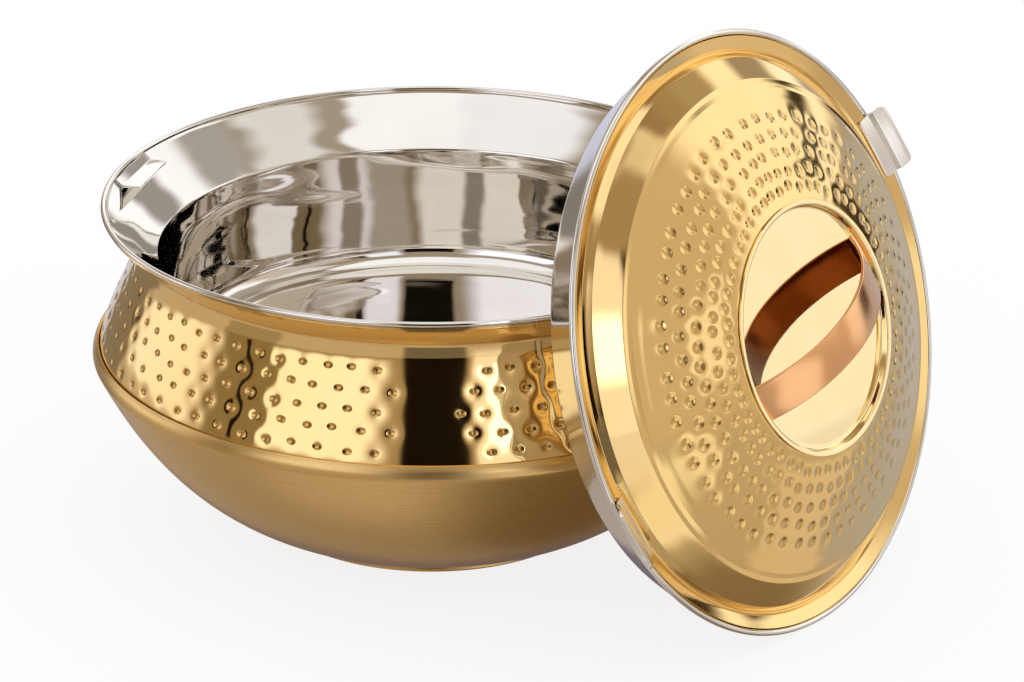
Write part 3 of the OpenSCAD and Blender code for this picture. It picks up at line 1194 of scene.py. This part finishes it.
    def catch(self, azimuth: float) -> Surface:
        """Tab that lies on the mouth under the rim and is bent level over the lugs.

        The strip is swept flat and then wrapped round the pot's axis: its Y becomes an
        angle, at the radius of its middle, and its X stays the radius.

        Args:
            azimuth: Direction of its middle, in degrees.

        Returns:
            The surface.
        """
        across, drop = self.rim_r - self.lip_r, self.mouth_drop
        slant = math.hypot(across, drop)
        seat = self.cone_z(self.hem_r - self.hem_bead + self.hem_bead * slant / drop)
        level = seat + self.lug_top + self.catch_gap + self.tab / 2
        up = self.tab / 2 + self.gap / 2
        bend = self.rim_r - (self.rim_h - level + up * slant / across) * across / drop
        start = self.cone_point(self.rim_r - 2 * self.bead - 0.2, -up)
        bends = [start, (bend, level), (self.lug_end - self.catch_cover, level)]
        path = stepped(rounded(bends, [0, 1.4, 0], steps=8), longest=0.4)
        strip = swept(path, np.full(len(path), self.catch_w), self.tab, edge=0.3)
        x, y, z = strip.points.T
        turn = y / self.catch_r + math.radians(azimuth)
        return replace(strip, points=np.stack([x * np.cos(turn), x * np.sin(turn), z], 1))

    def build(self) -> None:
        """Makes and dresses the pot's pieces."""
        left, right = self.catch(self.catch_az), self.catch(self.catch_az + 180)
        for name, surface, finish, node, slot in (
            ("outer_shell_hammered", self.upper_shell(), GOLD_BAND, "upper_shell", Slot.GOLD_MIRROR),
            ("outer_shell_belly", self.lower_shell(), GOLD_SATIN, "lower_shell", Slot.GOLD_SATIN),
            ("inner_bowl", self.bowl(), BOWL_STEEL, "bowl", Slot.MIRROR_STEEL),
            ("foot_plate", self.base_plate(), GOLD_SATIN, "base_plate", Slot.GOLD_SATIN),
            ("rim_catch_left", left, PAN_STEEL, "catch_left", Slot.MIRROR_STEEL),
            ("rim_catch_right", right, PAN_STEEL, "catch_right", Slot.MIRROR_STEEL),
        ):
            piece(name, surface, finish, Body.POT, node, slot)


# ---- the lid -------------------------------------------------------------------------


@dataclass
class Lid:
    """Double-walled lid, drawn level about its own hem and then leaned on the pot."""

    # Every sheet, the tabs, and the hair of clearance between them.
    sheet: float = 0.8
    tab: float = 1
    gap: float = 0.1
    # Gold face, from the hem inwards: flange, channel, ring wall, cove, dome.
    hem_r: float = 116
    hem_bead: float = 1.2
    flange_w: float = 4.9
    flange_slope: float = 0.306
    channel_depth: float = 2.8
    wall_foot_r: float = 105
    wall_top_r: float = 96.2
    wall_rise: float = 8.4
    dome_r: float = 92.2
    cove_rise: float = 1.8
    dome_rise: float = 16.2
    # Hammer marks of the dome, and the radius of each of their rings.
    marks: int = 56
    mark_rings: tuple[float, ...] = (81.5, 74.7, 68.0, 61.0, 54.5)
    # Steel underside: the plug that goes into the mouth, with a disc pressed in.
    plug_depth: float = 18.5
    plug_r: float = 104.9
    pan_disc_r: float = 76
    pan_disc_rise: float = 3.5
    # Hand cup in the middle of the dome, and the strap over it.
    cup_r: float = 46.3
    cup_depth: float = 3
    strap_inset: float = 1.2
    strap_rise: float = 22
    strap_w: float = 16
    strap_t: float = 1.4
    # Lugs on the flange.
    lug_w: float = 28
    lug_reach: float = 3.7
    lug_joggle: float = 2.1
    lug_lift: float = 2.8
    # Where the lid leans: its tip from level, compass directions of the tip and of the
    # place, turn about its own axis, all in degrees, and its clearance from the rim.
    lean: float = 73.2
    lean_az: float = -36.1
    place_az: float = -35.2
    spin: float = -67
    lean_gap: float = 0.3
    pot: Pot = field(default_factory=Pot)

    def __post_init__(self) -> None:
        """Works out the heights and radii that the pieces share."""
        self.flange_top = self.hem_bead - 0.3
        self.wall_top = self.flange_top + self.wall_rise
        self.dome_edge = self.wall_top + self.cove_rise
        self.crown = self.dome_edge + self.dome_rise
        self.crown_r = self.cup_r + 1.1
        self.flange_r = self.hem_r - 2 * self.hem_bead - 0.4
        self.flange_drop = self.flange_w * self.flange_slope
        self.channel_r = self.wall_foot_r + 2.1
        self.pan_floor = self.pan_disc_rise - self.plug_depth
        self.cup_rim = self.crown + self.gap + self.sheet
        self.cup_floor = self.cup_rim - self.cup_depth

    def leaned(self, surface: Surface, side: float = 0) -> Surface:
        """The surface moved from the level lid to where the lid leans.

        The matrix turns it about its axis by the spin, then tips it by the lean, then
        turns it to its compass direction. The shift stands its hem on the table and lays
        the disc in its underside against the rim.

        Args:
            surface: A piece drawn level.
            side: Turn about the lid's own axis before that, in degrees.

        Returns:
            The placed surface.
        """
        tip, place = math.radians(self.lean), math.radians(self.place_az)
        spun_round = turning(Axis.Z, math.radians(self.spin + 180 + side))
        turn = turning(Axis.Z, math.radians(self.lean_az)) @ turning(Axis.Y, tip) @ spun_round
        c, s = math.cos(tip), math.sin(tip)
        z = (self.hem_r - self.hem_bead) * s + self.hem_bead
        rim, bead = self.pot.rim_r - self.pot.bead, self.pot.bead
        reach = rim * s + bead + (self.pot.rim_h - bead) * c - self.pan_floor + self.lean_gap - z * c
        away = reach / (s * math.cos(math.radians(self.place_az - self.lean_az)))
        return surface.placed(turn, np.array([away * math.cos(place), away * math.sin(place), z]))

    def top(self) -> Surface:
        """Gold face: sloping flange, channel, ring wall, cove, plain border, hammered dome.

        The dome is a cubic curve, with its rows of points close together at the marks.

        Returns:
            The placed surface.
        """
        foot, top, dome = self.wall_foot_r, self.wall_top_r, self.dome_r
        bends = [
            (self.flange_r, self.flange_top),
            (self.flange_r - self.flange_w, self.flange_top - self.flange_drop),
            (self.channel_r, self.flange_top - self.channel_depth),
            (foot, self.flange_top + 0.7),
            (top, self.wall_top),
            (top - 1.7, self.wall_top + 0.4),
            (dome + 0.6, self.dome_edge - 0.4),
            (dome - 2.2, self.dome_edge + 0.9),
        ]
        radii = [0, 1, 0.4, 0.6, 1.2, 1.2, 1, 0]
        edge = stepped(rounded(bends, radii, steps=4), longest=3)
        curve = cubic(
            (dome - 3, self.dome_edge + 1.2),
            (dome - 15, self.dome_edge + 6.6),
            (self.crown_r + 15, self.crown - 1.2),
            (self.crown_r + 0.4, self.crown),
            steps=200,
        )
        length = run_along(curve)
        radius = np.array(self.mark_rings)
        rings = np.interp(-radius, -curve[:, 0], length)
        run = banded_rows(length[-1], rings, reach=1.75, fine=0.5, coarse=1.3)
        crown = along(curve, run)
        under = np.vstack([rounded(bends, radii, steps=1), crown[::12], crown[-1:]])
        loop = np.vstack([beside(under, self.sheet)[::-1], edge, crown])
        hammering = Hammering(rings, radius, self.marks, pit=(0.12, 1.8), dish=(0.2, 3.4), seed=9)
        return self.leaned(hammering.pressed(loop, len(loop) - len(run), run))

    def pan(self) -> Surface:
        """Steel underside: tapered skirt, round foot, pressed-in disc, and the rolled hem.

        Returns:
            The placed surface.
        """
        bends = [
            (self.hem_r - 0.7, -0.9),
            (self.plug_r, -self.plug_depth),
            (self.pan_disc_r + 2, -self.plug_depth),
            (self.pan_disc_r - 1, self.pan_floor),
            (0, self.pan_floor),
        ]
        path = stepped(rounded(bends, [0, 4, 1.5, 1.5, 0], steps=8), longest=2.5)
        centre = (self.hem_r - self.hem_bead, 0.0)
        hem = arc(centre, self.hem_bead, start=-56, end=215, steps=16)
        back = beside(path, -self.sheet)
        back = back[np.hypot(*(back - centre).T) > self.hem_bead + 0.2]
        return self.leaned(spun(np.vstack([path[::-1], hem, back]), columns=384))

    def cup(self) -> Surface:
        """Hand cup: rolled rim, short wall and flat mirror floor.

        Returns:
            The placed surface.
        """
        bends = [
            (self.crown_r + 1.3, self.cup_rim),
            (self.cup_r + 0.3, self.cup_rim),
            (self.cup_r, self.cup_floor),
            (0, self.cup_floor),
        ]
        path = rounded(bends, [0, 0.9, 0.9, 0], steps=8)
        back = beside(stepped(path, longest=3), self.sheet)
        return self.leaned(spun(np.vstack([back[::-1], stepped(path, longest=1.5)]), columns=320))

    def strap(self) -> Surface:
        """Strap: one circular arc with both feet cut flat on the cup's floor.

        Its radius is half the sum of the squared half span and the squared rise, over
        the rise.

        Returns:
            The placed surface.
        """
        seat = self.cup_floor + self.gap / 2
        span = math.sqrt((self.cup_r - self.strap_inset) ** 2 - (self.strap_w / 2) ** 2)
        r = (span**2 + self.strap_rise**2) / (2 * self.strap_rise)
        middle = seat + self.strap_rise - r
        foot = math.degrees(math.asin((seat - middle) / r)) - 0.9
        path = arc((0, middle), r - self.strap_t / 2, foot, 180 - foot, steps=140)
        strip = swept(path, np.full(len(path), self.strap_w), self.strap_t, edge=0.45, steps=4)
        strip.points[:, 2] = np.maximum(strip.points[:, 2], seat)
        return self.leaned(strip)

    def lug(self, side: float) -> Surface:
        """Tab on the flange, joggled up over the hem and rising to its rounded tip.

        A flat tab stands on the sloping flange with its two ends, which lifts its middle
        by the slope times the bow of the flange over the tab's width. Near its inner and
        outer end, the half width is drawn in by a quarter circle.

        Args:
            side: Turn about the lid's own axis, in degrees.

        Returns:
            The placed surface.
        """
        inner_round, outer_round = 1.5, 2.5
        bow = self.lug_w**2 / 8 / self.flange_r
        low = self.flange_top + self.gap + 0.55 * self.tab + self.flange_slope * bow
        high, end = low + self.lug_joggle, self.hem_r + self.lug_reach
        bends = [
            (self.channel_r + 1.2, low - self.flange_drop),
            (self.flange_r + 0.4, low + 0.12),
            (self.hem_r - 1.1, high),
            (end, high + self.lug_lift - 0.05),
        ]
        path = rounded(bends, [0, 0.6, 0.8, 0], steps=8)
        total = run_along(path)[-1]
        near = outer_round * (1 - np.cos(np.linspace(0, math.pi / 2, 9)))
        between = np.linspace(outer_round, total - outer_round, 50)
        places = np.unique(np.concatenate([near, total - near, between]))
        inner = np.minimum(places / inner_round, 1)
        outer = np.minimum((total - places) / outer_round, 1)
        drawn_in = inner_round * (1 - np.sqrt(1 - (1 - inner) ** 2))
        drawn_in = drawn_in + outer_round * (1 - np.sqrt(1 - (1 - outer) ** 2))
        strip = swept(along(path, places), self.lug_w - 2 * drawn_in, self.tab, edge=0.3)
        return self.leaned(strip, side)

    def build(self) -> None:
        """Makes and dresses the lid's pieces."""
        for name, surface, finish, node, slot in (
            ("lid_dome_hammered", self.top(), GOLD_DOME, "lid_top", Slot.GOLD_MIRROR),
            ("lid_pan_and_hem", self.pan(), PAN_STEEL, "lid_pan", Slot.MIRROR_STEEL),
            ("lid_hand_cup", self.cup(), PALE_GOLD, "hand_cup", Slot.PALE_GOLD),
            ("lid_strap", self.strap(), ROSE_GOLD, "strap", Slot.ROSE_GOLD),
            ("lid_lug_upper", self.lug(0), TAB_STEEL, "lug_upper", Slot.SATIN_STEEL),
            ("lid_lug_lower", self.lug(180), TAB_STEEL, "lug_lower", Slot.SATIN_STEEL),
        ):
            piece(name, surface, finish, Body.LID, node, slot)


# ---- the foam ------------------------------------------------------------------------


@dataclass
class Foam:
    """The foam fillings, which stay as the CAD made them."""

    nodes: tuple[str, ...] = ("body_foam", "lid_foam")

    def build(self) -> None:
        """Dresses the two fillings."""
        for name in self.nodes:
            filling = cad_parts[name]
            filling.data.materials.clear()
            filling.data.materials.append(PU_FOAM.material())
            log.info("%s: CAD node, in foam", name)


# ---- the studio ----------------------------------------------------------------------

# Width of the photograph in pixels, and of the camera's sensor in millimetres.
PHOTO_WIDTH = 1024
SENSOR_WIDTH = 36
WHITE = (1, 1, 1, 1)


@dataclass(frozen=True)
class Zone:
    """A change of the studio's colour with height.

    Attributes:
        low: Elevation where the change starts, in degrees.
        high: Elevation where it is complete.
        colour: sRGB hex colour above it.
        strength: Brightness of its red, green and blue.
    """

    low: float
    high: float
    colour: str
    strength: tuple[float, float, float] = (1, 1, 1)


@dataclass(frozen=True)
class Panel:
    """A softbox, or a dark gap between softboxes, as the metal sees it.

    Attributes:
        start: Azimuth of its left edge in degrees, 0 towards the camera and 90 to its right.
        end: Azimuth of its right edge.
        low: Elevation of its lower edge, in degrees.
        high: Elevation of its upper edge.
        colour: sRGB hex colour.
        strength: Brightness.
        edge: Width of its soft left and right edges, in degrees.
        fade: Width of its soft lower and upper edges.
    """

    start: float
    end: float
    low: float
    high: float
    colour: str
    strength: float = 1.0
    edge: float = 3
    fade: float = 6

    def mask(self, tree: Tree, azimuth: Socket, elevation: Socket) -> Socket:
        """Adds the nodes that find the panel among the directions.

        Across, a smooth step of the angle from the panel's middle, wrapped to half a
        turn, falls at half its width. Upwards, one step rises at its lower edge and
        another falls at its upper edge. The three are multiplied.

        Args:
            tree: Node tree of the world.
            azimuth: Azimuth of the direction, in radians.
            elevation: Its elevation.

        Returns:
            One inside the panel and nothing outside.
        """
        middle, half = math.radians(self.start + self.end) / 2, math.radians(self.end - self.start) / 2
        low, high = math.radians(self.low), math.radians(self.high)
        edge, fade = math.radians(self.edge) / 2, math.radians(self.fade) / 2
        off = add(tree, "Math", {0: azimuth, 1: middle}, operation="SUBTRACT")
        off = add(tree, "Math", {0: off.outputs[0], 1: -math.pi, 2: math.pi}, operation="WRAP")
        off = add(tree, "Math", {0: off.outputs[0]}, operation="ABSOLUTE")
        steps = []
        for value, nothing, one in (
            (off.outputs[0], half + edge, half - edge),
            (elevation, low - fade, low + fade),
            (elevation, high + fade, high - fade),
        ):
            ends = {"Value": value, "From Min": nothing, "From Max": one}
            steps.append(add(tree, "MapRange", ends, interpolation_type="SMOOTHSTEP").outputs[0])
        tall = add(tree, "Math", {0: steps[1], 1: steps[2]}, operation="MULTIPLY")
        return add(tree, "Math", {0: steps[0], 1: tall.outputs[0]}, operation="MULTIPLY").outputs[0]


def light(source: Zone | Panel) -> tuple[float, ...]:
    """Linear RGBA of a zone's or a panel's light: its colour times its strength."""
    return (*(np.array(paint(source.colour)[:3]) * source.strength).tolist(), 1.0)


@dataclass
class Studio:
    """Plain pale floor, soft light, and the camera of the photograph.

    Attributes:
        lens_px: Focal length in pixels of the photograph.
        camera_at: Place of the camera, in metres.
        yaw: Turn of the camera to its left, in radians.
        pitch: How far it looks down.
        roll: Its turn about its own view.
        table: Half width of the table, in metres.
        table_behind: How much further it goes on behind the object.
        table_z: Its height, a hair under the foot.
        table_glow: Share of plain white in what the eye sees of it.
        table_gloss: How much the metal sees through it.
        ground: sRGB hex colour of the studio below its lowest zone.
        zones: Changes of colour with height, from low to high.
        panels: Softboxes and gaps, each over the ones before.
    """

    lens_px: float = 6000
    camera_at: tuple[float, float, float] = (0.0, -2.20337, 0.98108)
    yaw: float = -0.0145
    pitch: float = 0.3916
    roll: float = -0.0044
    table: float = 1.5
    table_behind: float = 2
    table_z: float = -0.0001
    table_glow: float = 0.84
    table_gloss: float = 0.7
    ground: str = "#ada29a"
    zones: tuple[Zone, ...] = (
        Zone(-75, -25, "#c9bdb2"),
        Zone(-8, 0, "#ad9d89"),
        Zone(61, 69, "#ffffff", (1.2, 1.2, 1.22)),
    )
    panels: tuple[Panel, ...] = (
        Panel(-112, -28, 57, 91, "#f6f6fa", 1.2, 20, 7),
        Panel(-66, -19, 3, 44, "#f1f3ff", 1.5, 14, 8),
        Panel(-84, -59.5, -26, 44, "#948468", 1.0, 3),
        Panel(-130, -88, -4, 34, "#f4f3ff", 1.35, 18, 8),
        Panel(-121, -102, 16, 44, "#afa398", 1.0, 6, 6),
        Panel(-72.6, -69.4, 0, 34, "#1e1610", 0.5, 1.2, 4),
        Panel(-158, -131, -30, 6, "#5e5348", 1.0, 6, 8),
        Panel(-160, -130, 11, 36, "#cbc4bb", 1.0, 8, 6),
        Panel(-180, -158, -30, -6, "#cfd6f0", 1.1, 6),
        Panel(-110, 5, -90, -60, "#ebe0db", 1.0, 20, 12),
        Panel(38, 165, -82, -44, "#735e45", 1.0, 14, 12),
        Panel(165, 195, -52, -26, "#77707f", 1.0, 8, 6),
        Panel(-10.5, 13, -26, 35, "#1d150e", 0.6, 2.5, 5),
        Panel(15.5, 31.5, -20, 48, "#f3f2ff", 1.3, 4),
        Panel(20, 27, 11, 29, "#eef1ff", 3.0, 3),
        Panel(32.5, 36, -12, 46, "#281e16", 0.6, 1.5),
        Panel(36, 41, -12, 46, "#8a745a", 0.9, 1.5),
        Panel(30, 64, -38, -7, "#f7f5f2", 1.35, 7, 5),
        Panel(45, 97, -6, 47, "#d9ccbe", 1.0, 8, 8),
        Panel(61, 81, 3, 18, "#faf8f6", 1.15, 5, 5),
        Panel(70, 105, 47, 64, "#f4f1ed", 1.0, 12, 3),
        Panel(56, 98, 64.5, 69, "#b8aa97", 0.95, 16, 2.5),
        Panel(100, 156, 58, 68, "#a3927d", 0.95, 8, 4),
        Panel(94, 190, 3, 44, "#f4f4f6", 1.4, 12, 7),
        Panel(107, 126, 36, 50, "#b9b2ab", 1.0, 9, 7),
        Panel(95, 114, -9, 6, "#f7f5f3", 1.12, 5, 4),
        Panel(113, 162, -34, 0, "#bcc3d6", 0.95, 8),
        Panel(86, 112, -37, -15, "#efe2d9", 1.0, 6, 6),
        Panel(117, 131, -5, 5, "#4a3a2a", 0.9, 4, 3),
        Panel(118, 138, 9, 14, "#453c33", 0.8, 4, 3),
        Panel(137, 153, 14, 28, "#aaa39f", 1.0, 6, 5),
        Panel(124, 142, 39, 52, "#b6aa99", 1.0, 6, 5),
    )

    def camera(self) -> None:
        """Camera with the photograph's place, turn and lens.

        Its axes are the world's, turned by the roll about Y, the pitch about X and the
        yaw about Z. The lens is the focal length in pixels over the photograph's width,
        times the sensor's.
        """
        turned = turning(Axis.Z, self.yaw) @ turning(Axis.X, -self.pitch) @ turning(Axis.Y, self.roll)
        right, forward, up = turned.T
        data = bpy.data.cameras.new("photo_camera")
        data.sensor_width = SENSOR_WIDTH
        data.lens = self.lens_px / PHOTO_WIDTH * SENSOR_WIDTH
        data.clip_start, data.clip_end = 0.05, 100
        obj = bpy.data.objects.new("photo_camera", data)
        matrix = np.eye(4)
        matrix[:3] = np.stack([right, up, -forward, self.camera_at], 1)
        obj.matrix_world = Matrix(matrix)
        bpy.context.scene.collection.objects.link(obj)
        bpy.context.scene.camera = obj

    def floor(self) -> None:
        """Pale table: a wide flat sheet that only darkens a little under the object.

        The eye sees it lit up to white. The metal sees a share of its paper, and through
        it the studio, as on the glossy white table that the photograph's metal shows.
        """
        mesh = bpy.data.meshes.new("table")
        w, back, z = self.table, self.table + self.table_behind, self.table_z
        mesh.from_pydata([(-w, -w, z), (w, -w, z), (w, back, z), (-w, back, z)], [], [(0, 1, 2, 3)])
        made = bpy.data.materials.new("matt_white_paper")
        made.use_nodes = True
        tree = made.node_tree
        tree.nodes.clear()
        ray = add(tree, "LightPath")
        eye, metal = ray.outputs["Is Camera Ray"], ray.outputs["Is Glossy Ray"]
        place = add(tree, "TexCoord").outputs["Object"]
        grain = add(tree, "TexNoise", {"Scale": 900.0, "Vector": place}).outputs["Fac"]
        shades = {SHARE: grain, FIRST: paint("#cbc4bb"), SECOND: paint("#d1cac1")}
        grey = add(tree, "Mix", shades, data_type="RGBA").outputs[MIXED]
        whitened = {SHARE: eye, FIRST: grey, SECOND: WHITE}
        colour = add(tree, "Mix", whitened, data_type="RGBA").outputs[MIXED]
        paper = add(tree, "BsdfDiffuse", {"Color": colour}).outputs[0]
        glow = add(tree, "Emission", {"Color": WHITE}).outputs[0]
        share = add(tree, "Math", {0: eye, 1: self.table_glow}, operation="MULTIPLY").outputs[0]
        lit = add(tree, "MixShader", {0: share, 1: paper, 2: glow}).outputs[0]
        through = add(tree, "Math", {0: metal, 1: self.table_gloss}, operation="MULTIPLY").outputs[0]
        clear = add(tree, "BsdfTransparent").outputs[0]
        mixed = add(tree, "MixShader", {0: through, 1: lit, 2: clear}).outputs[0]
        add(tree, "OutputMaterial", {"Surface": mixed})
        mesh.materials.append(made)
        obj = bpy.data.objects.new("table", mesh)
        bpy.context.scene.collection.objects.link(obj)
        obj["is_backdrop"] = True

    def world(self) -> None:
        """Surroundings: white for the eye, and the studio's softboxes for the metal.

        A direction's elevation is the arcsine of its height and its azimuth the angle
        round the vertical from the camera's side. The zones are mixed in from low to
        high, and each panel where its mask says.
        """
        world = bpy.data.worlds.new("studio")
        bpy.context.scene.world = world
        world.use_nodes = True
        tree = world.node_tree
        tree.nodes.clear()
        x, y, z = add(tree, "SeparateXYZ", {0: add(tree, "TexCoord").outputs["Generated"]}).outputs
        elevation = add(tree, "Math", {0: z}, operation="ARCSINE").outputs[0]
        nearer = add(tree, "Math", {0: y, 1: -1.0}, operation="MULTIPLY").outputs[0]
        azimuth = add(tree, "Math", {0: x, 1: nearer}, operation="ARCTAN2").outputs[0]
        colour = paint(self.ground)
        for zone in self.zones:
            low, high = math.radians(zone.low), math.radians(zone.high)
            ends = {"Value": elevation, "From Min": low, "From Max": high}
            above = add(tree, "MapRange", ends, interpolation_type="SMOOTHSTEP").outputs[0]
            shades = {SHARE: above, FIRST: colour, SECOND: light(zone)}
            colour = add(tree, "Mix", shades, data_type="RGBA").outputs[MIXED]
        for panel in self.panels:
            inside = panel.mask(tree, azimuth, elevation)
            shades = {SHARE: inside, FIRST: colour, SECOND: light(panel)}
            colour = add(tree, "Mix", shades, data_type="RGBA").outputs[MIXED]
        metal = add(tree, "LightPath").outputs["Is Glossy Ray"]
        studio = add(tree, "Background", {"Color": colour}).outputs[0]
        white = add(tree, "Background", {"Color": WHITE}).outputs[0]
        shown = add(tree, "MixShader", {0: metal, 1: white, 2: studio}).outputs[0]
        add(tree, "OutputWorld", {"Surface": shown})

    def build(self) -> None:
        """Sets the stage."""
        self.camera()
        self.floor()
        self.world()
        bpy.context.scene.view_settings.view_transform = "Standard"


def main() -> None:
    """Builds the studio, the pot, the lid and the foam."""
    logging.basicConfig(level=logging.INFO, format="%(name)s: %(message)s")
    Studio().build()
    Pot().build()
    Lid().build()
    Foam().build()
    boxes = {
        name: [list(corner_) for corner_ in box]
        for name, box in (("cad", CAD_BOX), ("visual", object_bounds()))
    }
    log.info("CAD box %s, visual box %s", boxes["cad"], boxes["visual"])


if __name__ == "__main__":
    main()
